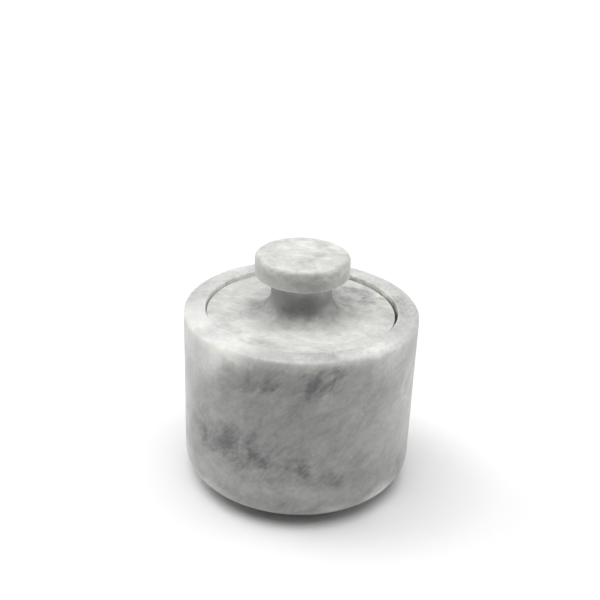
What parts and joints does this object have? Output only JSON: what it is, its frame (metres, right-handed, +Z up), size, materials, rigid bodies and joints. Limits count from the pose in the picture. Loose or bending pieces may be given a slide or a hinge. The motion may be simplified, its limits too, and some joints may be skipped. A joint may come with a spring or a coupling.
{
  "type": "salt cellar",
  "caption": "Round stone salt cellar with a loose lid sunk in the rim, a round knob on a short neck to lift it by, and a soft non-slip pad under the foot.",
  "frame": {"origin": "on the table, under the middle of the pot", "axes": "+Z up along the pot's turning axis, -Y towards the front of the pictured view, +X to its right"},
  "size_m": [0.1, 0.1, 0.1035],
  "materials": {
    "pot_stone": "honed grey and white marble",
    "lid_stone": "honed grey and white marble",
    "pad_rubber": "matte foam rubber",
    "adhesive_film": "translucent transfer adhesive"
  },
  "bodies": {
    "pot": {"pot": "pot_stone", "base_pad": "pad_rubber", "pad_adhesive": "adhesive_film"},
    "lid": {"lid": "lid_stone"}
  },
  "joints": [
    {"name": "lid_lift", "type": "slide", "parent": "pot", "child": "lid", "axis": [0, 0, 1], "range_m": [0, 0.06]}
  ]
}
